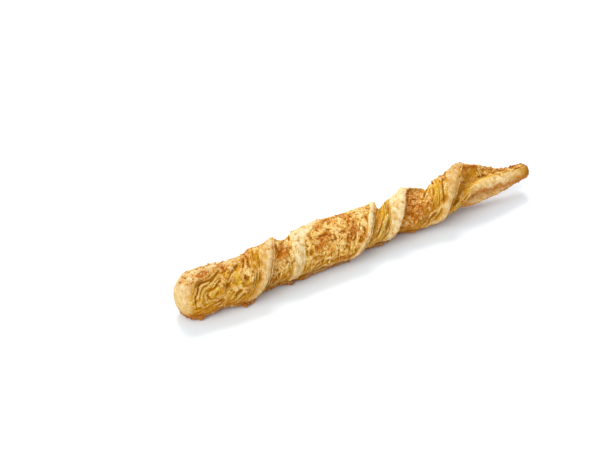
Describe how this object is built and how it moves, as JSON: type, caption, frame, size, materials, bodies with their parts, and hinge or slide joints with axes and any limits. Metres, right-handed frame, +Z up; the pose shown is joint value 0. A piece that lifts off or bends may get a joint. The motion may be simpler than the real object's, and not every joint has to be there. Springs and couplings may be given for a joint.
{
  "type": "cheese straw",
  "caption": "Long twisted stick of baked puff pastry with flaky layers, rounded leaning lips, a blunt head, a rolled thin tail and grated cheese baked on.",
  "frame": {"origin": "centre of the stick's bounding box at the level it rests on", "axes": "+X along the stick from its blunt head to its thin rolled tail, +Z up, +Y across the stick towards its back as the picture shows it"},
  "size_m": [0.3, 0.0372, 0.036],
  "materials": {
    "baked_pastry": "matte baked crust"
  },
  "bodies": {
    "root": {"cheese_straw": "baked_pastry"}
  },
  "joints": []
}
